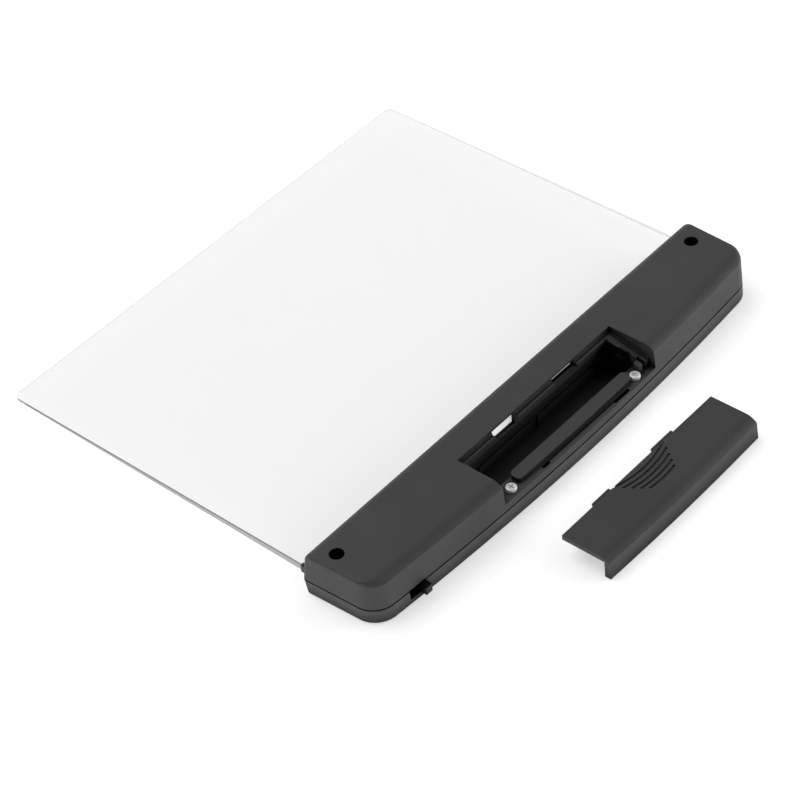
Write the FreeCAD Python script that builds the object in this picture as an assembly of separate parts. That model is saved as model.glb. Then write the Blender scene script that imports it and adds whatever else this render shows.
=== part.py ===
import FreeCAD, Part
import math
import os

# Edge-lit reading light: a clear wedge-shaped light panel held in a slim plastic battery bar.
# Units are millimetres. +X runs along the bar from its switch end, +Y points from the bar to the
# panel, +Z is up. The origin is on the bar's flat underside, which rests on a table, midway
# between the end screws.

V = FreeCAD.Vector

# ---- Bar: outer form ----
BAR_LENGTH = 180.3
BAR_MID_X = 0.75              # the bar reaches a little further past the panel at its far end
BAR_HEIGHT = 15.9
BAR_INNER_Y = 14.7            # straight side, where the panel enters
BAR_OUTER_MID_Y = -14.5       # bowed side at the crease, at mid length
BAR_OUTER_END_Y = -10.8       # bowed side at the crease, at the ends
END_TAPER_DEG = 2.7
OUTER_CORNER_R = 7.0
INNER_CORNER_R = 1.5
ROLL_WIDTH = 3.8              # top surface rolls off from the flat to the crease
ROLL_DROP = 1.6
END_ROUND = 1.0               # top edge over the ends
INNER_ROUND = 3.2             # top edge over the panel
SIDE_FLARE = 0.8              # the walls lean outwards from the crease down to the seam
END_FLARE = 0.2
INNER_FLARE = 1.2
LOWER_LEAN = 0.2              # the lower shell spreads a little more towards the table
INNER_DRAFT = 0.9             # but leans in under the panel
BOTTOM_ROUND = 0.6
SEAM_Z = 5.2                  # parting line of the two shells
SEAM_GAP = 0.1
SEAM_GROOVE = 0.35
WALL = 1.7
ROOF_T = 1.8
FLOOR = 1.6
ROUND_STEPS = 5

# ---- Light panel ----
PANEL_HALF = 88.2
PANEL_FAR_Y = 137.4
PANEL_TOP_Z = 9.5
PANEL_ROOT_T = 2.7
PANEL_TIP_T = 1.0
PANEL_CORNER_R = 2.5
PANEL_ROOT_Y = 7.7            # lit edge, inside the bar
PANEL_SHOULDER_Y = 12.6       # outside this the panel has its full width
PANEL_EXIT_Y = 16.0           # outside this it thins towards its far edge
PANEL_FIT = 0.08
TONGUE_HALF = 79.6            # the panel's tongue passes between the end screw bosses
SILL_Y0 = 12.7                # sill of the lower shell under the panel
SILL_Y1 = 15.6
CLAMP_XS = (-60.0, -20.0, 20.0, 60.0)
CLAMP_T = 1.2
CLAMP_Y0 = 8.3
CLAMP_PLAY = 0.25
LUG_T = 0.6                   # small lugs that hold the panel's corners at the bar
LUG_Y1 = 16.6
LUG_ROOT_Y = 13.4

# ---- Battery opening and cover ----
OPENING_X0 = -34.6
OPENING_X1 = 37.2
OPENING_Y = 3.1
OPENING_SIDE_Z = 7.9          # the opening's lower edge in the bowed side
GATE_WALL = 2.0
COVER_GAP = 0.2
COVER_T = 1.7
COVER_SKIRT_T = 1.6
COVER_FOOT_GAP = 0.45
COVER_TRAVEL_Y = 38.0         # the loose cover rests this far outside its seat, on the table
GRIP_COUNT = 5                # shallow arcs for the thumb
GRIP_CENTRE_Y = 34.0
GRIP_R = 33.4
GRIP_PITCH = 1.75
GRIP_HALF = 12.0
GRIP_SHORTEN = 1.5
GRIP_WIDTH = 0.8
GRIP_DEPTH = 0.35
LEDGE_Y = 1.8
LEDGE_X0 = -32.6
LEDGE_X1 = 33.9
LEDGE_T = 1.4
LEDGE_LINE_X = 36.15          # fine grooves along the far ledge and the one by the panel
LEDGE_LINE_Y = 2.45
LEDGE_LINE_WIDTH = 0.35
LEDGE_LINE_DEPTH = 0.4
LEDGE_LINE_Y0 = -12.0
HOOK_X0 = 32.2                # hook-shaped end of the far ledge
HOOK_SLOT_X1 = 35.2
HOOK_SLOT_Y0 = -12.7
HOOK_SLOT_Y1 = -6.4
HOOK_TIP_Y = -9.9
TAB_SPANS = ((-18.4, -10.6), (9.6, 19.4))
TAB_SLOTS = ((-18.8, -8.2, 10.3), (9.2, 19.8, 12.65))   # span and floor; the nearer shows the board
TAB_SLOT_Z1 = 15.0
TAB_Y0 = 0.6
TAB_REACH = 1.6
TAB_Z0 = 13.6
TAB_Z1 = 14.5
PAD_SPAN = (-22.0, 24.6)
PAD_Y0 = -6.0
PAD_Y1 = 0.2
PAD_T = 0.7

# ---- Cell channel ----
CHANNEL_X0 = -58.6            # for two slim cells end to end
CHANNEL_X1 = 34.4
CHANNEL_Y0 = -8.0
CHANNEL_Y1 = 3.3
BAY_WALL = 1.3
CELL_Y = -2.6
CELL_Z = 7.35
RAIL_SPANS = ((-26.0, -1.5), (1.5, 28.5))
RAIL_Y0 = 2.75
RAIL_Z = 5.9
FLANGE_Z = 7.7
FLANGE_T = 1.6
RIB_X0 = -25.3                # flat-topped wall beside the cells
RIB_X1 = 29.2
RIB_Y0 = -12.6
RIB_TOP_Z = 9.4
RIB_END_R = 1.9
GROOVE_SPAN = (-14.4, 18.0)   # fine groove outside the rib, with a clip opening at each end
GROOVE_Y0 = -13.5
GROOVE_Y1 = -13.0
GROOVE_DEPTH = 0.8
CLIP_SPANS = ((-16.4, -13.2), (17.8, 25.0))
CLIP_Y0 = -14.2
CLIP_Y1 = -13.0
CLIP_DEPTH = 3.0

# ---- Screws ----
END_SCREWS = ((-83.5, 6.5), (83.5, 6.5))
BAY_SCREWS = ((-28.6, -11.7), (30.4, -11.7))
WELL_R = 2.3
WELL_FLOOR_Z = 7.2
BAY_WELL_R = 2.05
BAY_WELL_TOP_Z = 9.4
SCREW_HEAD_R = 1.9
BAY_HEAD_R = 1.8
SCREW_HEAD_T = 1.3
SCREW_HEAD_ROUND = 0.55
SCREW_TIP_Z = 2.6
SCREW_SEAT = 0.02
SCREW_R = 0.9
SCREW_HOLE_R = 1.05
RECESS_ARM = 0.62             # share of the head's radius
RECESS_HALF_WIDTH = 0.22
RECESS_DEPTH = 0.8
BOSS_R = 3.3
BAY_BOSS_R = 2.6
SCREW_RELIEF_R = 2.0          # hollows in the cover's skirt that clear the bay screws
SCREW_RELIEF_Z = 9.6

# ---- Light source ----
BOARD_Y = 4.9
BOARD_T = 0.8
BOARD_Z0 = 5.6
BOARD_Z1 = 10.8
BOARD_HALF = 78.0
RISER_SPAN = (-23.0, -5.0)
LED_COUNT = 8
LED_PITCH = 20.0
LED_WIDTH = 3.5
LED_DEPTH = 1.4
LED_HEIGHT = 2.6
RESISTOR_XS = (-19.0, -14.0, -9.0)
RESISTOR_WIDTH = 3.2
RESISTOR_DEPTH = 0.55
RESISTOR_Z0 = 11.6
RESISTOR_Z1 = 13.2
TAPE_HALF = 79.0
TAPE_Y0 = 7.2
TAPE_Y1 = 11.0
TAPE_T = 0.18

# ---- Contacts ----
CONTACT_T = 0.35
CONTACT_PLAY = 0.05
CONTACT_Y0 = -6.6
CONTACT_Y1 = 1.4
CONTACT_Z0 = 2.4
TAIL_Z0 = 11.0                # solder tails
TAIL_Z1 = 12.4
TAIL_REACH_Y = 5.7
NEGATIVE_TAIL_Y0 = -2.9
NEGATIVE_TAIL_Y1 = -1.1
NEGATIVE_TAIL_X = 2.6
BUTTON_R = 2.2
BUTTON_T = 0.7
SPRING_WIRE_R = 0.3
SPRING_R = 3.4
SPRING_LENGTH = 4.4
SPRING_PITCH = 1.25
SPRING_CONE_DEG = 12.0

# ---- Slide switch ----
SLOT_X0 = -75.4               # its opening in the bowed side
SLOT_X1 = -68.8
SLOT_Z0 = 1.95
KNOB_X0 = -71.5
KNOB_WIDTH = 2.6
KNOB_Z0 = 2.2
KNOB_Z1 = 4.95
KNOB_TIP_Y = -15.55
KNOB_ROUND = 0.35
SLIDER_HALF = 2.9
SLIDER_Z0 = 2.05
SWITCH_X0 = -78.2
SWITCH_X1 = -65.8
SWITCH_Y0 = -9.75
SWITCH_Y1 = -6.2
SWITCH_Z0 = 1.65
SWITCH_Z1 = 5.6
WINDOW_Z0 = 2.1
WINDOW_Z1 = 5.1
CAN_T = 0.3
BASE_T = 1.2
TERMINAL_XS = (-76.0, -73.3, -70.7, -68.0)
TERMINAL_HALF = 0.4
TERMINAL_Z0 = 3.4
TERMINAL_Z1 = 3.8
TERMINAL_END_Y = -4.2
STAY_XS = (-79.4, -65.6)      # ribs that hold the switch in the lower shell
STAY_T = 1.0
STAY_Y0 = -10.0
STAY_Y1 = -5.6
STAY_Z1 = 3.6

# ---- Values that follow from them ----
HALF = BAR_LENGTH / 2
TAPER = math.tan(math.radians(END_TAPER_DEG))
CREASE_Z = BAR_HEIGHT - ROLL_DROP
INNER_ROUND_Z = BAR_HEIGHT - INNER_ROUND
ROOF_Z = BAR_HEIGHT - ROOF_T
UPPER_Z0 = SEAM_Z + SEAM_GAP
PANEL_UNDER_Z = PANEL_TOP_Z - PANEL_ROOT_T
OPENING_MID = (OPENING_X0 + OPENING_X1) / 2
COVER_DROP = OPENING_SIDE_Z + COVER_FOOT_GAP
SLIDE_SLOPE = COVER_DROP / COVER_TRAVEL_Y
SEAT_Z = BAR_HEIGHT - COVER_T - 0.08
SLIDER_Y0 = SWITCH_Y0 + CAN_T + 0.05
SLIDER_Y1 = SLIDER_Y0 + 1.0
FAR = 400.0


def box(x0, x1, y0, y1, z0, z1):
    return Part.makeBox(x1 - x0, y1 - y0, z1 - z0, V(x0, y0, z0))


def post(x, y, z0, z1, radius):
    return Part.makeCylinder(radius, z1 - z0, V(x, y, z0))


def slab(z0, z1):
    return box(-FAR, FAR, -FAR, FAR, z0, z1)


def fused(shapes):
    whole = shapes[0].multiFuse(shapes[1:])
    return whole.removeSplitter()


def prism(points, low, high):
    """A polygon in the Y-Z plane, extruded along X from low to high."""
    corners = [V(low, y, z) for y, z in points]
    return Part.Face(Part.makePolygon(corners + [corners[0]])).extrude(V(high - low, 0, 0))


def arc_circle():
    """Centre and radius, in plan, of the bowed side at the crease."""
    half_chord = HALF - TAPER * (BAR_INNER_Y - BAR_OUTER_END_Y)
    sagitta = BAR_OUTER_END_Y - BAR_OUTER_MID_Y
    radius = (half_chord ** 2 + sagitta ** 2) / (2 * sagitta)
    return BAR_OUTER_MID_Y + radius, radius


ARC_Y, ARC_R = arc_circle()


def bar_outline(side, end, inner, z):
    """The bar's plan outline as a wire, its bowed side, ends and straight side moved outwards."""
    corner_r = max(OUTER_CORNER_R + side, 2.0)
    side_r = ARC_R + side
    normal = V(math.cos(math.atan(TAPER)), -math.sin(math.atan(TAPER)), 0)
    end_top = V(HALF + end + TAPER * inner, BAR_INNER_Y + inner, 0)
    # centre of the corner round: corner_r inside both the end line and the bowed side
    reach = side_r - corner_r
    low, high = 0.0, 60.0
    for _ in range(60):
        step = (low + high) / 2
        centre = end_top - normal * corner_r + V(-TAPER, -1, 0) * step
        if centre.distanceToPoint(V(0, ARC_Y, 0)) < reach:
            low = step
        else:
            high = step
    on_end = centre + normal * corner_r
    outward = (centre - V(0, ARC_Y, 0)).normalize()
    on_side = centre + outward * corner_r
    middle = centre + (normal + outward).normalize() * corner_r
    turn = math.tan(math.radians(45) - math.atan(TAPER) / 2) * INNER_CORNER_R
    on_top = end_top - V(turn, 0, 0)
    on_rise = end_top + V(-TAPER, -1, 0).normalize() * turn
    bulge = end_top + V(-0.29, -0.29, 0) * INNER_CORNER_R

    def at(point, sign=1):
        return V(BAR_MID_X + sign * point.x, point.y, z)

    edges = [
        Part.makeLine(at(on_top, -1), at(on_top)),
        Part.Arc(at(on_top), at(bulge), at(on_rise)).toShape(),
        Part.makeLine(at(on_rise), at(on_end)),
        Part.Arc(at(on_end), at(middle), at(on_side)).toShape(),
        Part.Arc(at(on_side), V(BAR_MID_X, ARC_Y - side_r, z), at(on_side, -1)).toShape(),
        Part.Arc(at(on_side, -1), at(middle, -1), at(on_end, -1)).toShape(),
        Part.makeLine(at(on_end, -1), at(on_rise, -1)),
        Part.Arc(at(on_rise, -1), at(bulge, -1), at(on_top, -1)).toShape(),
    ]
    return Part.Wire(edges)


def curved_in(z, radius):
    """How far a rounded top edge of this radius has turned in at a height."""
    rise = max(0.0, z - BAR_HEIGHT + radius)
    return radius - math.sqrt(max(0.0, radius ** 2 - rise ** 2))


def upper_outline(z):
    lean = max(0.0, (CREASE_Z - z) / (CREASE_Z - SEAM_Z))
    inner_lean = max(0.0, (INNER_ROUND_Z - z) / (INNER_ROUND_Z - SEAM_Z))
    rolled = max(0.0, (z - CREASE_Z) / ROLL_DROP)
    side = SIDE_FLARE * lean - ROLL_WIDTH * (1 - math.sqrt(max(0.0, 1 - rolled)))
    end = END_FLARE * lean - curved_in(z, END_ROUND)
    inner = INNER_FLARE * inner_lean - curved_in(z, INNER_ROUND)
    return bar_outline(side, end, inner, z)


def lower_outline(z):
    lean = 1 - z / SEAM_Z
    low = max(0.0, BOTTOM_ROUND - z)
    under = BOTTOM_ROUND - math.sqrt(BOTTOM_ROUND ** 2 - low ** 2)
    side = SIDE_FLARE + LOWER_LEAN * lean - under
    end = END_FLARE - under
    inner = INNER_FLARE - INNER_DRAFT * lean - under
    return bar_outline(side, end, inner, z)


def upper_form():
    """The upper shell's whole outer form: leaning sides and a top that rolls off."""
    heights = [SEAM_Z, INNER_ROUND_Z, (INNER_ROUND_Z + CREASE_Z) / 2, CREASE_Z]
    for i in range(1, ROUND_STEPS + 1):
        share = i / ROUND_STEPS
        heights.append(CREASE_Z + ROLL_DROP * (1 - (1 - share) ** 2))
    return Part.makeLoft([upper_outline(z) for z in heights], True, True)


def lower_form():
    """The lower shell's whole outer form, with a rounded under-edge."""
    heights = []
    for i in range(ROUND_STEPS + 1):
        heights.append(BOTTOM_ROUND * (1 - math.cos(math.radians(90.0 * i / ROUND_STEPS))))
    heights.append(SEAM_Z)
    return Part.makeLoft([lower_outline(z) for z in heights], True, True)


def bar_core(inset, z0, z1):
    """The bar's inside: the outline at the crease moved in on every side, between two heights."""
    return Part.Face(bar_outline(-inset, -inset, -inset, z0)).extrude(V(0, 0, z1 - z0))


def seam_ring(form, z0, z1, depth):
    """The shallow groove that runs round the bar where the shells meet."""
    core = bar_outline(SIDE_FLARE - depth, END_FLARE - depth, INNER_FLARE - depth, z0 - 1)
    band = form.common(slab(z0, z1))
    return band.cut(Part.Face(core).extrude(V(0, 0, z1 - z0 + 2)))


UPPER_FORM = upper_form()
LOWER_FORM = lower_form()


def slide_envelope(x0, x1, deeper=0.0):
    """The space that the cover sweeps, from its seat down and out to the table."""
    far_y = BAR_OUTER_MID_Y - 6
    seat_z = SEAT_Z - deeper
    far_z = seat_z - SLIDE_SLOPE * (OPENING_Y - far_y)
    profile = [(OPENING_Y, FAR), (OPENING_Y, seat_z), (far_y, far_z), (far_y, FAR)]
    return prism(profile, x0, x1)


def skirt_gate():
    """The cut in the bowed side that the cover's skirt fills."""
    gate = box(OPENING_X0, OPENING_X1, -FAR, -5, OPENING_SIDE_Z, FAR)
    return gate.cut(bar_core(GATE_WALL, 0, BAR_HEIGHT + 1))


def tab_slots():
    y0 = LEDGE_Y - 0.2
    y1 = OPENING_Y + TAB_REACH + 0.15
    return [box(x0, x1, y0, y1, z0, TAB_SLOT_Z1) for x0, x1, z0 in TAB_SLOTS]


def ledge_lines():
    """Fine grooves along the far ledge and the one by the panel, following their slope."""
    x1 = LEDGE_LINE_X + LEDGE_LINE_WIDTH
    y1 = LEDGE_LINE_Y + LEDGE_LINE_WIDTH
    lowered = slide_envelope(LEDGE_X0 - 1, x1, LEDGE_LINE_DEPTH)
    return [
        lowered.common(box(LEDGE_LINE_X, x1, LEDGE_LINE_Y0, y1, 0, FAR)),
        lowered.common(box(LEDGE_X0, LEDGE_LINE_X, LEDGE_LINE_Y, y1, 0, FAR)),
    ]


def ledge_hook():
    """The far ledge's outer end: a strip that turns back round a narrow slot."""
    x1 = OPENING_X1 + BAY_WALL
    z0 = FLANGE_Z - FLANGE_T
    block = box(HOOK_X0, x1, BAR_OUTER_MID_Y, CHANNEL_Y0, z0, ROOF_Z)
    corners = [e for e in block.Edges if e.BoundBox.XMax < HOOK_X0 + 0.01
               and e.BoundBox.YMax < BAR_OUTER_MID_Y + 0.01 and e.BoundBox.ZLength > 1]
    block = block.makeFillet(1.6, corners)
    slot_end = (HOOK_SLOT_X1 - LEDGE_X1) / 2
    slot_x = (HOOK_SLOT_X1 + LEDGE_X1) / 2
    slot = box(LEDGE_X1, HOOK_SLOT_X1, HOOK_SLOT_Y0 + slot_end, HOOK_SLOT_Y1, FLANGE_Z, FAR)
    slot = slot.fuse(post(slot_x, HOOK_SLOT_Y0 + slot_end, FLANGE_Z, FAR, slot_end))
    beyond_tip = box(HOOK_X0 - 1, LEDGE_X1 + 0.1, HOOK_TIP_Y, CHANNEL_Y0 + 1, FLANGE_Z, FAR)
    return block.cut(slot).cut(beyond_tip)


def rib_block():
    """The flat-topped wall beside the cells, with rounded outer ends."""
    rib = box(RIB_X0, RIB_X1, RIB_Y0, CHANNEL_Y0, FLANGE_Z - FLANGE_T, RIB_TOP_Z)
    ends = [e for e in rib.Edges if e.BoundBox.ZLength > 1]
    return rib.makeFillet(RIB_END_R, ends)


def flange_cuts():
    """A fine groove and two clip openings in the flange, outside the rib."""
    groove_x0, groove_x1 = GROOVE_SPAN
    top_z = OPENING_SIDE_Z + 0.4
    cuts = [box(groove_x0, groove_x1, GROOVE_Y0, GROOVE_Y1, FLANGE_Z - GROOVE_DEPTH, top_z)]
    for x0, x1 in CLIP_SPANS:
        cuts.append(box(x0, x1, CLIP_Y0, CLIP_Y1, FLANGE_Z - CLIP_DEPTH, top_z))
    return cuts


def panel_lugs(clearance):
    """The lugs of the upper shell that stand in the panel's corners, with room round them."""
    x0 = PANEL_HALF - LUG_T - clearance
    z0 = PANEL_UNDER_Z + PANEL_FIT - clearance
    z1 = PANEL_TOP_Z - PANEL_FIT + clearance
    y1 = LUG_Y1 + clearance
    right = box(x0, PANEL_HALF + 0.6, LUG_ROOT_Y - clearance, y1, z0, z1)
    left = box(-PANEL_HALF - 0.6, -x0, LUG_ROOT_Y - clearance, y1, z0, z1)
    return [left, right]


def bay_walls():
    """The upper shell's walls and ledges round the cells and the opening."""
    wall_y = CHANNEL_Y1 + BAY_WALL
    rim_y = CHANNEL_Y0 - BAY_WALL
    x0 = CHANNEL_X0 - BAY_WALL
    end_x0 = OPENING_X0 - BAY_WALL
    end_x1 = OPENING_X1 + BAY_WALL
    ledge_z = ROOF_Z - LEDGE_T
    shelf_z = FLANGE_Z - FLANGE_T
    outer_y = BAR_OUTER_MID_Y - SIDE_FLARE
    return [
        box(x0, CHANNEL_X1 + BAY_WALL, CHANNEL_Y1, wall_y, UPPER_Z0, ROOF_Z),
        box(x0, CHANNEL_X0, rim_y, wall_y, UPPER_Z0, ROOF_Z),
        box(CHANNEL_X0, end_x0, rim_y, CHANNEL_Y0, UPPER_Z0, ROOF_Z),
        box(end_x0, end_x1, rim_y, CHANNEL_Y0, UPPER_Z0, FLANGE_Z),
        box(end_x0, end_x1, outer_y, CHANNEL_Y0, shelf_z, FLANGE_Z),
        box(end_x0, OPENING_X0, outer_y, CHANNEL_Y0, shelf_z, ROOF_Z),
        box(OPENING_X0 - 1, LEDGE_X0, outer_y, CHANNEL_Y0, FLANGE_Z, ROOF_Z),
        box(OPENING_X0 - 1, LEDGE_X0, CHANNEL_Y0 - 1, CHANNEL_Y1, ledge_z, ROOF_Z),
        box(OPENING_X0, end_x1, LEDGE_Y, CHANNEL_Y1, ledge_z, ROOF_Z),
        box(CHANNEL_X1, end_x1, rim_y, wall_y, UPPER_Z0, ROOF_Z),
        box(LEDGE_X1, CHANNEL_X1, CHANNEL_Y0, CHANNEL_Y1, ledge_z, ROOF_Z),
        ledge_hook(),
        rib_block(),
    ]


def contact_slits():
    """Slits in the channel's walls for the contacts' solder tails."""
    z0 = TAIL_Z0 - 0.1
    z1 = TAIL_Z1 + 0.1
    return [
        box(CHANNEL_X1 - 0.5, CHANNEL_X1 + 0.05, CHANNEL_Y1 - 0.3, CHANNEL_Y1 + 1.7, z0, z1),
        box(CHANNEL_X0 - 2, CHANNEL_X0 + 0.1, NEGATIVE_TAIL_Y0 - 0.2, NEGATIVE_TAIL_Y1 + 0.2, z0, z1),
    ]


def make_upper_shell():
    shell = UPPER_FORM.common(slab(UPPER_Z0, FAR))
    shell = shell.cut(bar_core(WALL, UPPER_Z0 - 1, ROOF_Z))
    inside = bay_walls()
    for x in CLAMP_XS:
        inside.append(box(x - CLAMP_T / 2, x + CLAMP_T / 2, CLAMP_Y0, BAR_INNER_Y - WALL,
                          PANEL_TOP_Z + CLAMP_PLAY, ROOF_Z))
    for x, y in END_SCREWS:
        inside.append(post(x, y, UPPER_Z0, ROOF_Z, BOSS_R))
    for x, y in BAY_SCREWS:
        inside.append(post(x, y, UPPER_Z0, FLANGE_Z, BAY_BOSS_R))
    shell = fused([shell] + [piece.common(UPPER_FORM) for piece in inside])
    cuts = [slide_envelope(OPENING_X0, OPENING_X1), skirt_gate()]
    cuts += ledge_lines() + tab_slots() + flange_cuts() + contact_slits()
    slot_half = PANEL_HALF + 0.1
    cuts.append(box(-slot_half, slot_half, PANEL_SHOULDER_Y - 0.05, FAR, 0, PANEL_TOP_Z + PANEL_FIT))
    for x, y in END_SCREWS:
        cuts.append(post(x, y, WELL_FLOOR_Z, FAR, WELL_R))
        cuts.append(post(x, y, 0, FAR, SCREW_HOLE_R))
    for x, y in BAY_SCREWS:
        cuts.append(post(x, y, FLANGE_Z, BAY_WELL_TOP_Z, BAY_WELL_R))
        cuts.append(post(x, y, 0, FAR, SCREW_HOLE_R))
    cuts.append(seam_ring(UPPER_FORM, SEAM_Z, SEAM_Z + SEAM_GROOVE, SEAM_GROOVE))
    for tool in cuts:
        shell = shell.cut(tool)
    return fused([shell] + panel_lugs(0.0))


def make_lower_shell():
    shell = LOWER_FORM.cut(bar_core(WALL, FLOOR, SEAM_Z + 1))
    wall_y = CHANNEL_Y1 + BAY_WALL
    rim_y = CHANNEL_Y0 - BAY_WALL
    x0 = CHANNEL_X0 - BAY_WALL
    x1 = CHANNEL_X1 + BAY_WALL
    inside = [
        box(x0, x1, CHANNEL_Y1, wall_y, FLOOR, SEAM_Z),
        box(x0, x1, rim_y, CHANNEL_Y0, FLOOR, SEAM_Z),
        box(x0, CHANNEL_X0, rim_y, wall_y, FLOOR, SEAM_Z),
        box(CHANNEL_X1, x1, rim_y, wall_y, FLOOR, SEAM_Z),
    ]
    for x in STAY_XS:
        inside.append(box(x, x + STAY_T, STAY_Y0, STAY_Y1, FLOOR, STAY_Z1))
    for x in CLAMP_XS:
        inside.append(box(x - CLAMP_T / 2, x + CLAMP_T / 2, CLAMP_Y0, BAR_INNER_Y - WALL, FLOOR,
                          SEAM_Z))
    for x, y in END_SCREWS:
        inside.append(post(x, y, FLOOR, SEAM_Z, BOSS_R))
    for x, y in BAY_SCREWS:
        inside.append(post(x, y, FLOOR, SEAM_Z, BAY_BOSS_R))
    inside = [piece.common(LOWER_FORM) for piece in inside]
    inside.append(box(-PANEL_HALF, PANEL_HALF, SILL_Y0, SILL_Y1, SEAM_Z - 1.2,
                      PANEL_UNDER_Z - PANEL_FIT))
    for x in CLAMP_XS:
        inside.append(box(x - CLAMP_T / 2, x + CLAMP_T / 2, CLAMP_Y0, SILL_Y0 + 0.2, SEAM_Z - 1,
                          PANEL_UNDER_Z - CLAMP_PLAY))
    for rail_x0, rail_x1 in RAIL_SPANS:
        inside.append(box(rail_x0, rail_x1, RAIL_Y0, CHANNEL_Y1 - 0.05, FLOOR, RAIL_Z))
    shell = fused([shell] + inside)
    cuts = [seam_ring(LOWER_FORM, SEAM_Z - 0.2, SEAM_Z, SEAM_GROOVE)]
    cuts.append(box(SLOT_X0, SLOT_X1, -FAR, SWITCH_Y0 + 0.8, SLOT_Z0, FAR))
    for x, y in END_SCREWS + BAY_SCREWS:
        cuts.append(post(x, y, SCREW_TIP_Z - 0.4, FAR, SCREW_R + 0.05))
    for tool in cuts:
        shell = shell.cut(tool)
    return shell.removeSplitter()


def make_light_panel():
    """A wedge: flat on top, thick at the lit edge and thin at the far edge."""
    profile = [
        (PANEL_ROOT_Y, PANEL_UNDER_Z),
        (PANEL_EXIT_Y, PANEL_UNDER_Z),
        (PANEL_FAR_Y, PANEL_TOP_Z - PANEL_TIP_T),
        (PANEL_FAR_Y, PANEL_TOP_Z),
        (PANEL_ROOT_Y, PANEL_TOP_Z),
    ]
    panel = prism(profile, -PANEL_HALF, PANEL_HALF)
    corners = [e for e in panel.Edges
               if e.BoundBox.YMin > PANEL_FAR_Y - 0.1 and e.BoundBox.XLength < 0.1]
    panel = panel.makeFillet(PANEL_CORNER_R, corners)
    shoulders = [
        box(TONGUE_HALF, FAR, 0, PANEL_SHOULDER_Y, 0, FAR),
        box(-FAR, -TONGUE_HALF, 0, PANEL_SHOULDER_Y, 0, FAR),
    ]
    for tool in shoulders + panel_lugs(0.05 + PANEL_FIT):
        panel = panel.cut(tool)
    return panel


def grip_grooves():
    """Shallow arcs that fan across the cover's middle and get shorter towards the outside."""
    tools = []
    for i in range(GRIP_COUNT):
        radius = GRIP_R + GRIP_PITCH * i
        half = GRIP_HALF - GRIP_SHORTEN * i
        ring = post(OPENING_MID, GRIP_CENTRE_Y, BAR_HEIGHT - GRIP_DEPTH, BAR_HEIGHT + 1,
                    radius + GRIP_WIDTH / 2)
        ring = ring.cut(post(OPENING_MID, GRIP_CENTRE_Y, 0, FAR, radius - GRIP_WIDTH / 2))
        span = box(OPENING_MID - half, OPENING_MID + half, -FAR, 5, 0, FAR)
        tools.append(ring.common(span))
    return tools


def seated_to_loose(shape):
    """Moves a piece of the cover from its seat to where it lies beside the bar."""
    loose = shape.copy()
    loose.translate(V(0, -COVER_TRAVEL_Y, -COVER_DROP))
    return loose


def make_battery_cover():
    x0 = OPENING_X0 + COVER_GAP
    x1 = OPENING_X1 - COVER_GAP
    foot_z = OPENING_SIDE_Z + COVER_FOOT_GAP
    cover = UPPER_FORM.common(box(x0, x1, -FAR, OPENING_Y - COVER_GAP, foot_z, FAR))
    cover = cover.cut(bar_core(COVER_SKIRT_T, 0, BAR_HEIGHT - COVER_T))
    tabs = []
    for tab_x0, tab_x1 in TAB_SPANS:
        tabs.append(box(tab_x0, tab_x1, TAB_Y0, OPENING_Y + TAB_REACH, TAB_Z0, TAB_Z1))
    cover = fused([cover] + tabs)
    reliefs = [post(x, y, 0, SCREW_RELIEF_Z, SCREW_RELIEF_R) for x, y in BAY_SCREWS]
    for tool in grip_grooves() + reliefs:
        cover = cover.cut(tool)
    return seated_to_loose(cover)


def make_cover_pad():
    """The thin foam strip under the cover that keeps the cells from rattling."""
    x0, x1 = PAD_SPAN
    top_z = BAR_HEIGHT - COVER_T
    return seated_to_loose(box(x0, x1, PAD_Y0, PAD_Y1, top_z - PAD_T, top_z))


def cross_recess(x, y, top_z, arm):
    z0 = top_z - RECESS_DEPTH
    across = RECESS_HALF_WIDTH
    slot_a = box(x - arm, x + arm, y - across, y + across, z0, top_z + 1)
    slot_b = box(x - across, x + across, y - arm, y + arm, z0, top_z + 1)
    return slot_a.fuse(slot_b)


def pan_screw(x, y, seat_z, head_r):
    """A cross-recess pan-head screw, seat_z being the underside of its head."""
    top_z = seat_z + SCREW_HEAD_T
    head = post(x, y, seat_z, top_z, head_r)
    rim = [e for e in head.Edges if e.BoundBox.ZMin > top_z - 0.01]
    head = head.makeFillet(SCREW_HEAD_ROUND, rim)
    shank = post(x, y, SCREW_TIP_Z, seat_z, SCREW_R)
    recess = cross_recess(x, y, top_z, head_r * RECESS_ARM)
    return head.fuse(shank).cut(recess).removeSplitter()


def make_end_screws():
    return [pan_screw(x, y, WELL_FLOOR_Z + SCREW_SEAT, SCREW_HEAD_R) for x, y in END_SCREWS]


def make_bay_screws():
    return [pan_screw(x, y, FLANGE_Z + SCREW_SEAT, BAY_HEAD_R) for x, y in BAY_SCREWS]


def make_led_board():
    board = box(-BOARD_HALF, BOARD_HALF, BOARD_Y, BOARD_Y + BOARD_T, BOARD_Z0, BOARD_Z1)
    x0, x1 = RISER_SPAN
    riser = box(x0, x1, BOARD_Y, BOARD_Y + BOARD_T, BOARD_Z1, ROOF_Z - 0.1)
    return board.fuse(riser).removeSplitter()


def make_leds():
    y0 = BOARD_Y + BOARD_T
    z0 = PANEL_TOP_Z - PANEL_ROOT_T / 2 - LED_HEIGHT / 2
    leds = []
    for i in range(LED_COUNT):
        x = (i - (LED_COUNT - 1) / 2) * LED_PITCH
        leds.append(box(x - LED_WIDTH / 2, x + LED_WIDTH / 2, y0, y0 + LED_DEPTH, z0, z0 + LED_HEIGHT))
    return leds


def make_chip_resistors():
    y0 = BOARD_Y + BOARD_T
    half = RESISTOR_WIDTH / 2
    return [box(x - half, x + half, y0, y0 + RESISTOR_DEPTH, RESISTOR_Z0, RESISTOR_Z1)
            for x in RESISTOR_XS]


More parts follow.
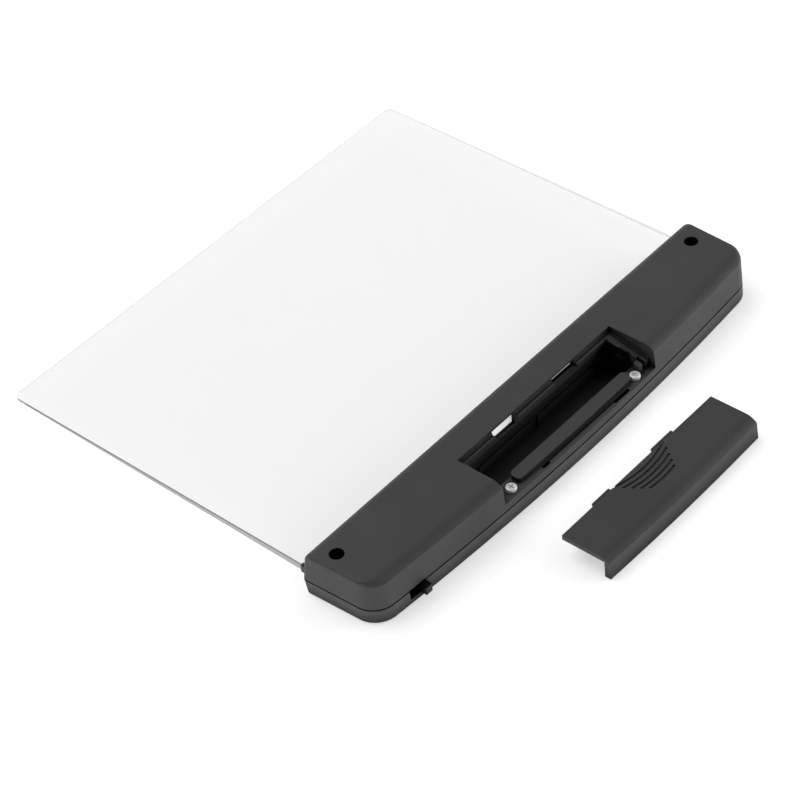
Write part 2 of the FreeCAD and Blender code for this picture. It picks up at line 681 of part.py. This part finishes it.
def make_reflector_tape():
    """White tape above and below the lit edge."""
    top_z = PANEL_TOP_Z + 0.02
    under_z = PANEL_UNDER_Z - 0.02
    return [
        box(-TAPE_HALF, TAPE_HALF, TAPE_Y0, TAPE_Y1, top_z, top_z + TAPE_T),
        box(-TAPE_HALF, TAPE_HALF, TAPE_Y0, TAPE_Y1, under_z - TAPE_T, under_z),
    ]


def make_positive_contact():
    x1 = CHANNEL_X1 - CONTACT_PLAY
    x0 = x1 - CONTACT_T
    plate = box(x0, x1, CONTACT_Y0, CONTACT_Y1, CONTACT_Z0, TAIL_Z1)
    tail = box(x0, x1, CONTACT_Y1, TAIL_REACH_Y, TAIL_Z0, TAIL_Z1)
    button = Part.makeCylinder(BUTTON_R, BUTTON_T, V(x0 - BUTTON_T, CELL_Y, CELL_Z), V(1, 0, 0))
    return fused([plate, tail, button])


def make_negative_plate():
    x0 = CHANNEL_X0 + CONTACT_PLAY
    x1 = x0 + CONTACT_T
    plate = box(x0, x1, CONTACT_Y0, CONTACT_Y1, CONTACT_Z0, TAIL_Z1)
    tail = box(CHANNEL_X0 - NEGATIVE_TAIL_X, x1, NEGATIVE_TAIL_Y0, NEGATIVE_TAIL_Y1,
               TAIL_Z0 + 0.3, TAIL_Z1 - 0.3)
    return fused([plate, tail])


def make_negative_spring():
    """A conical coil of round wire that pushes on the cell's flat end."""
    plate_x = CHANNEL_X0 + CONTACT_PLAY + CONTACT_T
    helix = Part.makeHelix(SPRING_PITCH, SPRING_LENGTH, SPRING_R, SPRING_CONE_DEG)
    ring = Part.Wire(Part.makeCircle(SPRING_WIRE_R, V(SPRING_R, 0, 0), V(0, 1, 0)))
    coil = Part.Wire(helix).makePipeShell([ring], True, True)
    coil.rotate(V(0, 0, 0), V(0, 1, 0), 90)
    coil.translate(V(plate_x + SPRING_WIRE_R + 0.02, CELL_Y, CELL_Z))
    return coil


def wire_run(points, radius=0.5):
    """A round wire bent smoothly through a few points."""
    curve = Part.BSplineCurve()
    curve.interpolate([V(*p) for p in points])
    tangent = curve.tangent(curve.FirstParameter)[0]
    ring = Part.Wire(Part.makeCircle(radius, V(*points[0]), tangent))
    return Part.Wire(curve.toShape()).makePipeShell([ring], True, False)


def make_red_wire():
    """From the positive contact's tail along the bar to the switch."""
    return wire_run([(34.1, 6.3, 11.7), (30, 7.0, 12.2), (10, 7.2, 12.4), (-20, 7.4, 12.4),
                     (-50, 7.2, 12.4), (-61, 5.0, 12.0), (-64.5, 0, 10.0), (-69.5, -2.6, 6.0),
                     (-70.7, -3.6, 3.9)])


def make_black_wire():
    """From the negative contact's tail to the LED board."""
    return wire_run([(-61.8, -2.0, 11.7), (-64.5, -0.5, 12.6), (-68, 3.5, 12.4),
                     (-71, 6.3, 11.0), (-72, 6.4, 9.9)])


def make_board_leads():
    """From the switch's low and high terminals to the LED board."""
    leads = []
    for x in (TERMINAL_XS[1], TERMINAL_XS[0]):
        leads.append(wire_run([(x, -3.6, 3.9), (x - 0.4, -1.5, 5.6), (x - 0.3, 2.0, 7.4),
                               (x, 4.4, 8.2)], 0.4))
    return leads


def make_switch_can():
    can = box(SWITCH_X0, SWITCH_X1, SWITCH_Y0, SWITCH_Y1, SWITCH_Z0, SWITCH_Z1)
    inside = box(SWITCH_X0 + CAN_T, SWITCH_X1 - CAN_T, SWITCH_Y0 + CAN_T, FAR,
                 SWITCH_Z0 + CAN_T, SWITCH_Z1 - CAN_T)
    window = box(SLOT_X0, SLOT_X1, -FAR, SWITCH_Y0 + 1, WINDOW_Z0, WINDOW_Z1)
    return can.cut(inside).cut(window)


def make_switch_base():
    gap = CAN_T + 0.05
    base = box(SWITCH_X0 + gap, SWITCH_X1 - gap, SWITCH_Y1 - BASE_T, SWITCH_Y1,
               SWITCH_Z0 + gap, SWITCH_Z1 - gap)
    half = TERMINAL_HALF + 0.02
    for x in TERMINAL_XS:
        base = base.cut(box(x - half, x + half, -FAR, FAR, TERMINAL_Z0 - 0.02, TERMINAL_Z1 + 0.02))
    return base


def make_switch_terminals():
    return [box(x - TERMINAL_HALF, x + TERMINAL_HALF, SWITCH_Y1 - BASE_T, TERMINAL_END_Y,
                TERMINAL_Z0, TERMINAL_Z1) for x in TERMINAL_XS]


def make_switch_knob():
    knob_x1 = KNOB_X0 + KNOB_WIDTH
    middle = (KNOB_X0 + knob_x1) / 2
    tip = box(KNOB_X0, knob_x1, KNOB_TIP_Y, SLIDER_Y0 + 0.2, KNOB_Z0, KNOB_Z1)
    front = [e for e in tip.Edges if e.BoundBox.YMax < KNOB_TIP_Y + 0.01]
    tip = tip.makeFillet(KNOB_ROUND, front)
    slider = box(middle - SLIDER_HALF, middle + SLIDER_HALF, SLIDER_Y0, SLIDER_Y1, SLIDER_Z0,
                 SWITCH_Z1 - CAN_T - 0.1)
    return fused([tip, slider])


def make_switch_wiper():
    """The copper clip behind the slider that bridges two terminals."""
    middle = KNOB_X0 + KNOB_WIDTH / 2
    z0 = 2.9
    z1 = 4.3
    back = box(middle - 2.0, middle + 2.0, SLIDER_Y1, SLIDER_Y1 + 0.25, z0, z1)
    arms = [box(middle + s * 1.8 - 0.2, middle + s * 1.8 + 0.2, SLIDER_Y1,
                SWITCH_Y1 - BASE_T - 0.05, z0, z1) for s in (-1, 1)]
    return fused([back] + arms)


PIECES = {
    "upper_shell": make_upper_shell,
    "lower_shell": make_lower_shell,
    "light_panel": make_light_panel,
    "battery_cover": make_battery_cover,
    "cover_pad": make_cover_pad,
    "end_screws": make_end_screws,
    "bay_screws": make_bay_screws,
    "led_board": make_led_board,
    "leds": make_leds,
    "chip_resistors": make_chip_resistors,
    "reflector_tape": make_reflector_tape,
    "positive_contact": make_positive_contact,
    "negative_plate": make_negative_plate,
    "negative_spring": make_negative_spring,
    "red_wire": make_red_wire,
    "black_wire": make_black_wire,
    "board_leads": make_board_leads,
    "switch_can": make_switch_can,
    "switch_base": make_switch_base,
    "switch_terminals": make_switch_terminals,
    "switch_knob": make_switch_knob,
    "switch_wiper": make_switch_wiper,
}

os.makedirs("parts", exist_ok=True)
for name, make in PIECES.items():
    made = make()
    solids = made if isinstance(made, list) else [made]
    shape = Part.makeCompound(solids) if len(solids) > 1 else solids[0]
    shape.exportStep(f"parts/{name}.step")
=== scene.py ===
import math

import bpy
from mathutils import Matrix, Vector


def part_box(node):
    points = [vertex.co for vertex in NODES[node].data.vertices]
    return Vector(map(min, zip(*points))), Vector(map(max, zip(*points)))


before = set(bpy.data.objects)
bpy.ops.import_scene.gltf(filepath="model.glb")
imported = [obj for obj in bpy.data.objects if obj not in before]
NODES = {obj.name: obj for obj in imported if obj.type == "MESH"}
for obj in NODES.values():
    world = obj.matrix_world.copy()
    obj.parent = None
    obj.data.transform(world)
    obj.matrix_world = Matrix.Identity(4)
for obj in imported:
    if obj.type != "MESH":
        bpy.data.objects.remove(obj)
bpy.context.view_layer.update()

# ---- Scene values, in metres and degrees ----
MM = 0.001
CAMERA_AZIMUTH = -44.3
CAMERA_ELEVATION = 42.7
CAMERA_ROLL = -7.0
CAMERA_LENS = 125.0
CAMERA_DISTANCE = 0.8398
CAMERA_AIM = Vector((-0.0189, 0.0397, 0.008))
BEVEL_SAMPLES = 6
EDGE_UPPER = 0.2              # painted light: glowing tones of the panel's cut edge from outside, with a painted dark band on top
EDGE_LOWER = 0.6
EDGE_BAND = 0.6 * MM
EDGE_BLUR = 0.1 * MM
EDGE_MAX_TILT = 0.6           # faces with a steeper normal than this are the sheet's broad faces
# painted glow: the cut edge's pale tone seen through the sheet, and how much of the edge shows the painted
# glow
EDGE_INSIDE = 0.84
EDGE_SHARE = 0.75
FLOOR_GLOW = 0.5
FLOOR_HALF = 3.0
FLOOR_Z = -0.1 * MM           # just clear of the undersides that rest on it
# painted shade in recesses: how far the plastic looks for open sky, and how dark it gets
CAVITY_REACH = 9.0 * MM
CAVITY_OPEN = (0.35, 0.85)    # share of open sky at which the plastic's painted shade is darkest, and at which it is gone
CAVITY_DARK = 0.03
BAY_SHADE = 0.45              # painted shade: what is left of the plastic's tone deep in the battery bay
BAY_SIDES = (1.6 * MM, 2.0 * MM)   # how far it reaches past its contacts on either side
BAY_END = 0.45 * MM                # and past the strip at its far end
BAY_FLOOR_Z = 0.8 * MM
BAY_TOP_Z = 9.3 * MM
SKY_LOW = 0.95
SKY_HIGH = 0.25
SKY_SHADE = 0.15              # share of the sky left right behind the camera
SKY_SHADE_SPAN = (0.6, 0.95)  # cosine from the camera's direction where the shade starts and is full
LIGHTS = (                    # name, place, size, power
    ("key", (-0.2, 0.7, 1.4), 1.1, 8.0),
    ("fill", (1.0, -0.8, 0.5), 1.0, 5.0),
)


# ---------------------------------------------------------------- shader helpers

class Shader:
    """A small wrapper that keeps a material's node tree short to write."""

    def __init__(self, name):
        self.material = bpy.data.materials.new(name)
        self.material.use_nodes = True
        self.tree = self.material.node_tree
        self.tree.nodes.clear()
        self.output = self.tree.nodes.new("ShaderNodeOutputMaterial")
        self.coords = self.tree.nodes.new("ShaderNodeTexCoord")

    def node(self, kind, inputs=None, **props):
        made = self.tree.nodes.new(kind)
        for key, value in props.items():
            setattr(made, key, value)
        for key, value in (inputs or {}).items():
            self.put(made, key, value)
        return made

    def put(self, node, key, value):
        socket = node.inputs[key]
        if isinstance(value, bpy.types.NodeSocket):
            self.tree.links.new(value, socket)
        else:
            socket.default_value = value

    def noise(self, scale, detail=3.0, roughness=0.55):
        made = self.node("ShaderNodeTexNoise", {
            "Vector": self.coords.outputs["Object"],
            "Scale": scale, "Detail": detail, "Roughness": roughness})
        return made.outputs["Fac"]

    def spread(self, value, low, high, out_low, out_high):
        made = self.node("ShaderNodeMapRange", {
            "Value": value, "From Min": low, "From Max": high, "To Min": out_low, "To Max": out_high})
        return made.outputs["Result"]

    def math(self, kind, a, b):
        made = self.node("ShaderNodeMath", operation=kind)
        self.put(made, 0, a)
        self.put(made, 1, b)
        return made.outputs[0]

    def mix(self, share, a, b):
        made = self.node("ShaderNodeMix", data_type="RGBA")
        self.put(made, 0, share)
        self.put(made, 6, a)
        self.put(made, 7, b)
        return made.outputs[2]

    def bump(self, height, strength, distance, normal=None):
        made = self.node("ShaderNodeBump", {
            "Height": height, "Strength": strength, "Distance": distance})
        if normal is not None:
            self.put(made, "Normal", normal)
        return made.outputs["Normal"]

    def rounded(self, radius):
        return self.node("ShaderNodeBevel", {"Radius": radius}, samples=BEVEL_SAMPLES).outputs["Normal"]

    def edges(self, radius):
        """1 along sharp edges and 0 on flat ground."""
        soft = self.rounded(radius)
        true = self.node("ShaderNodeNewGeometry").outputs["Normal"]
        dot = self.node("ShaderNodeVectorMath", {0: soft, 1: true}, operation="DOT_PRODUCT")
        return self.spread(dot.outputs["Value"], 0.995, 0.85, 0.0, 1.0)

    def painted_shade_factor(self):
        """Painted shade for recesses: 1 on open ground, falling towards 0 deep inside a recess."""
        open_sky = self.node("ShaderNodeAmbientOcclusion", {"Distance": CAVITY_REACH}, samples=8)
        return self.spread(open_sky.outputs["AO"], *CAVITY_OPEN, CAVITY_DARK, 1.0)

    def bay_shade(self):
        """Painted shade: BAY_SHADE inside the battery bay and 1 elsewhere."""
        place = self.node("ShaderNodeSeparateXYZ", {0: self.coords.outputs["Object"]})
        inside = 1.0
        for axis, low, high in zip("XYZ", *battery_bay()):
            above = self.math("GREATER_THAN", place.outputs[axis], low)
            below = self.math("LESS_THAN", place.outputs[axis], high)
            inside = self.math("MULTIPLY", self.math("MULTIPLY", above, below), inside)
        return self.spread(inside, 0.0, 1.0, 1.0, BAY_SHADE)

    def mix_shader(self, share, first, second):
        made = self.node("ShaderNodeMixShader", {0: share})
        self.tree.links.new(first.outputs[0], made.inputs[1])
        self.tree.links.new(second.outputs[0], made.inputs[2])
        return made

    def surface(self, shader):
        self.tree.links.new(shader.outputs[0], self.output.inputs["Surface"])

    def principled(self, **inputs):
        made = self.node("ShaderNodeBsdfPrincipled")
        for key, value in inputs.items():
            self.put(made, key.replace("_", " "), value)
        self.surface(made)
        return made


def grey(level):
    return (level, level, level, 1.0)


def battery_bay():
    """Lowest and highest corners of the battery bay, worked out from the contacts at its ends."""
    plate_low, plate_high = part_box("negative_plate")
    strip_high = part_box("positive_contact")[1]
    low_side, high_side = BAY_SIDES
    low = (plate_low[0], plate_low[1] - low_side, BAY_FLOOR_Z)
    high = (strip_high[0] + BAY_END, plate_high[1] + high_side, BAY_TOP_Z)
    return low, high


def moulded_plastic(name, level, roughness=0.5, grain=0.35, shine=0.38):
    """Black moulded plastic: spark-eroded grain, faint cloudiness, paler edges in patches, painted shade in
    hollows and deep in the battery bay.
    """
    s = Shader(name)
    cloud = s.spread(s.noise(28.0, 4.0), 0.3, 0.7, 0.0, 1.0)
    fine = s.noise(3800.0, 2.0)
    base = s.mix(cloud, grey(level * 0.9), grey(level * 1.12))
    pale_edges = s.math("MULTIPLY", s.edges(0.35 * MM), s.spread(s.noise(260.0, 5.0), 0.35, 0.7, 0.1, 0.6))
    # painted shade: colour and shine fall towards black in recesses and deep in the battery bay
    painted_shade_factor = s.math("MULTIPLY", s.painted_shade_factor(), s.bay_shade())
    color = s.mix(painted_shade_factor, grey(level * 0.05), s.mix(pale_edges, base, grey(level * 2.1)))
    rough = s.spread(s.noise(90.0, 5.0), 0.3, 0.7, roughness - 0.05, roughness + 0.06)
    normal = s.bump(fine, grain, 0.02 * MM, s.rounded(0.25 * MM))
    s.principled(Base_Color=color, Roughness=rough, Normal=normal,
                 Specular_IOR_Level=s.math("MULTIPLY", painted_shade_factor, shine))
    return s.material


def clear_acrylic(name):
    """Polished clear sheet whose cut edges are painted with glowing light and shade tones; it lets shadow
    rays through.
    """
    s = Shader(name)
    haze = s.spread(s.noise(35.0, 3.0), 0.3, 0.7, 0.01, 0.04)
    ripple = s.bump(s.noise(60.0, 2.0), 0.06, 0.1 * MM)
    glass = s.node("ShaderNodeBsdfPrincipled", {
        "Base Color": grey(0.87), "Roughness": haze, "IOR": 1.49,
        "Transmission Weight": 1.0, "Normal": ripple})
    clear = s.node("ShaderNodeBsdfTransparent", {"Color": grey(0.973)})
    path = s.node("ShaderNodeLightPath")
    passing = s.math("MAXIMUM", path.outputs["Is Shadow Ray"], path.outputs["Is Diffuse Ray"])
    sheet = s.mix_shader(passing, glass, clear)
    # painted light on the cut edges: a pale glow when seen through the sheet, a greyer glow with a painted
    # dark band on top when seen from outside
    geometry = s.node("ShaderNodeNewGeometry")
    turned = s.node("ShaderNodeSeparateXYZ", {0: geometry.outputs["True Normal"]})
    upright = s.math("ABSOLUTE", turned.outputs["Z"], 0.0)
    is_edge = s.math("LESS_THAN", upright, EDGE_MAX_TILT)
    streak = s.spread(s.noise(700.0, 3.0), 0.3, 0.7, 0.9, 1.06)
    place = s.node("ShaderNodeSeparateXYZ", {0: s.coords.outputs["Object"]})
    band_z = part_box("light_panel")[1][2] - EDGE_BAND
    upper = s.spread(place.outputs["Z"], band_z - EDGE_BLUR, band_z + EDGE_BLUR, 0.0, 1.0)
    outside = s.mix(upper, grey(EDGE_LOWER), grey(EDGE_UPPER))
    tone = s.mix(geometry.outputs["Backfacing"], outside, grey(EDGE_INSIDE))
    painted_glow = s.node("ShaderNodeEmission", {"Color": tone, "Strength": streak})
    edge = s.mix_shader(EDGE_SHARE, sheet, painted_glow)
    s.surface(s.mix_shader(is_edge, sheet, edge))
    return s.material


def metal(name, color, roughness, scratch=240.0, painted_sheen=0.0):
    """Plated or bare metal with faint stains and scratches; the last argument is the share that scatters
    like paint, a painted sheen in place of bright reflections.
    """
    s = Shader(name)
    stain = s.spread(s.noise(160.0, 5.0), 0.35, 0.7, 0.0, 1.0)
    dark = tuple(c * 0.72 for c in color)
    base = s.mix(stain, (*color, 1.0), (*dark, 1.0))
    rough = s.spread(s.noise(scratch * 6, 3.0), 0.3, 0.7, roughness - 0.08, roughness + 0.12)
    normal = s.bump(s.noise(scratch * 10, 2.0), 0.15, 0.02 * MM, s.rounded(0.12 * MM))
    s.principled(Base_Color=base, Metallic=1.0 - painted_sheen, Roughness=rough, Normal=normal)
    return s.material


def coated(name, color, roughness=0.45, variation=0.12, fine_scale=900.0, painted_glow=0.0):
    """A coloured dielectric: board mask, insulation, tape, ceramic or foam.

    The painted glow stands for light that reaches the piece through the clear panel.
    """
    s = Shader(name)
    cloud = s.spread(s.noise(180.0, 4.0), 0.3, 0.7, 0.0, 1.0)
    low = tuple(c * (1 - variation) for c in color)
    base = s.mix(cloud, (*color, 1.0), (*low, 1.0))
    rough = s.spread(s.noise(500.0, 3.0), 0.3, 0.7, roughness - 0.05, roughness + 0.08)
    normal = s.bump(s.noise(fine_scale, 3.0), 0.25, 0.03 * MM, s.rounded(0.1 * MM))
    s.principled(Base_Color=base, Roughness=rough, Normal=normal,
                 Emission_Color=base, Emission_Strength=painted_glow)
    return s.material


MATERIALS = {
    "upper_shell": moulded_plastic("upper_shell_abs", 0.046),
    # painted light: the same plastic as the upper shell, set paler for the light it takes from the floor
    # below
    "lower_shell": moulded_plastic("lower_shell_abs", 0.075),
    "battery_cover": moulded_plastic("cover_abs", 0.044),
    "switch_knob": moulded_plastic("knob_nylon", 0.004, 0.42),
    "light_panel": clear_acrylic("panel_acrylic"),
    "cover_pad": coated("foam", (0.02, 0.02, 0.02), 0.9, 0.3, 2500.0),
    "end_screws": metal("zinc", (0.66, 0.66, 0.68), 0.3),
    # painted sheen: most of the nickel scatters as matte white in place of its bright reflections
    "bay_screws": metal("bright_nickel", (0.95, 0.95, 0.96), 0.3, painted_sheen=0.7),
    # painted light: the white board glows as if lit through the clear panel
    "led_board": coated("white_mask", (0.9, 0.9, 0.88), 0.35, painted_glow=0.6),
    "leds": coated("led_package", (0.93, 0.9, 0.7), 0.3),
    "chip_resistors": coated("chip_ceramic", (0.03, 0.03, 0.035), 0.35),
    "reflector_tape": coated("white_film", (0.93, 0.93, 0.93), 0.3),
    # painted shade: the brass contacts are set near black for the deep shade of the battery bay
    "positive_contact": metal("contact_strip", (0.035, 0.028, 0.022), 0.5),
    "negative_plate": metal("contact_plate", (0.035, 0.028, 0.022), 0.5),
    "negative_spring": metal("spring_wire", (0.7, 0.7, 0.72), 0.25),
    "red_wire": coated("red_pvc", (0.55, 0.03, 0.02), 0.35),
    "black_wire": coated("black_pvc", (0.015, 0.015, 0.015), 0.35),
    "board_leads": coated("yellow_pvc", (0.7, 0.5, 0.04), 0.35),
    "switch_can": metal("tin_plate", (0.7, 0.7, 0.72), 0.32),
    "switch_base": coated("phenolic", (0.22, 0.1, 0.04), 0.5),
    "switch_terminals": metal("tinned_pin", (0.78, 0.78, 0.8), 0.3),
    "switch_wiper": metal("copper", (0.8, 0.42, 0.2), 0.3),
}


def dress_nodes():
    for name, node in NODES.items():
        node.data.materials.clear()
        node.data.materials.append(MATERIALS[name])


# ---------------------------------------------------------------- stage

def camera_side():
    """The direction from the object to the camera."""
    azimuth = math.radians(CAMERA_AZIMUTH)
    elevation = math.radians(CAMERA_ELEVATION)
    return Vector((math.sin(azimuth) * math.cos(elevation),
                   -math.cos(azimuth) * math.cos(elevation), math.sin(elevation)))


def make_floor():
    mesh = bpy.data.meshes.new("floor")
    turns = ((-1, -1), (1, -1), (1, 1), (-1, 1))
    corners = [(FLOOR_HALF * x, FLOOR_HALF * y, FLOOR_Z) for x, y in turns]
    mesh.from_pydata(corners, [], [(0, 1, 2, 3)])
    floor = bpy.data.objects.new("floor", mesh)
    bpy.context.scene.collection.objects.link(floor)
    s = Shader("pale_floor")
    tint = s.mix(s.noise(3.0, 2.0), grey(0.88), grey(0.9))
    s.principled(Base_Color=tint, Roughness=0.9, Specular_IOR_Level=0.1,
                 Emission_Color=grey(1.0), Emission_Strength=FLOOR_GLOW)
    mesh.materials.append(s.material)


def area_light(name, place, size, power):
    """A square soft light that faces the origin."""
    light = bpy.data.lights.new(name, "AREA")
    light.size = size
    light.energy = power
    holder = bpy.data.objects.new(name, light)
    holder.location = place
    holder.rotation_euler = (-Vector(place)).to_track_quat("-Z", "Y").to_euler()
    bpy.context.scene.collection.objects.link(holder)


def map_range(tree, low, high, out_low, out_high):
    made = tree.nodes.new("ShaderNodeMapRange")
    made.inputs["From Min"].default_value = low
    made.inputs["From Max"].default_value = high
    made.inputs["To Min"].default_value = out_low
    made.inputs["To Max"].default_value = out_high
    return made


def make_light():
    """A white studio, brightest near the horizon and dim behind the camera, and soft lights."""
    world = bpy.data.worlds.new("studio")
    world.use_nodes = True
    tree = world.node_tree
    background = tree.nodes["Background"]
    background.inputs["Strength"].default_value = 1.0
    coords = tree.nodes.new("ShaderNodeTexCoord")
    split = tree.nodes.new("ShaderNodeSeparateXYZ")
    fall = map_range(tree, 0.0, 1.0, SKY_LOW, SKY_HIGH)
    tree.links.new(coords.outputs["Generated"], split.inputs[0])
    tree.links.new(split.outputs["Z"], fall.inputs["Value"])
    # darker right behind the camera, so that faces turned squarely to it fall into shade
    toward = tree.nodes.new("ShaderNodeVectorMath")
    toward.operation = "DOT_PRODUCT"
    toward.inputs[1].default_value = camera_side()
    tree.links.new(coords.outputs["Generated"], toward.inputs[0])
    shade = map_range(tree, *SKY_SHADE_SPAN, 1.0, SKY_SHADE)
    tree.links.new(toward.outputs["Value"], shade.inputs["Value"])
    product = tree.nodes.new("ShaderNodeMath")
    product.operation = "MULTIPLY"
    tree.links.new(fall.outputs["Result"], product.inputs[0])
    tree.links.new(shade.outputs["Result"], product.inputs[1])
    tree.links.new(product.outputs[0], background.inputs["Color"])
    bpy.context.scene.world = world
    for name, place, size, power in LIGHTS:
        area_light(name, place, size, power)


def make_camera():
    camera = bpy.data.cameras.new("camera")
    camera.lens = CAMERA_LENS
    camera.clip_start = 0.01
    holder = bpy.data.objects.new("camera", camera)
    back = camera_side()
    turn = back.to_track_quat("Z", "Y").to_matrix().to_4x4()
    roll = Matrix.Rotation(math.radians(CAMERA_ROLL), 4, "Z")
    holder.matrix_world = Matrix.Translation(CAMERA_AIM + back * CAMERA_DISTANCE) @ turn @ roll
    bpy.context.scene.collection.objects.link(holder)
    bpy.context.scene.camera = holder


dress_nodes()
make_floor()
make_light()
make_camera()
bpy.context.scene.view_settings.view_transform = "Standard"
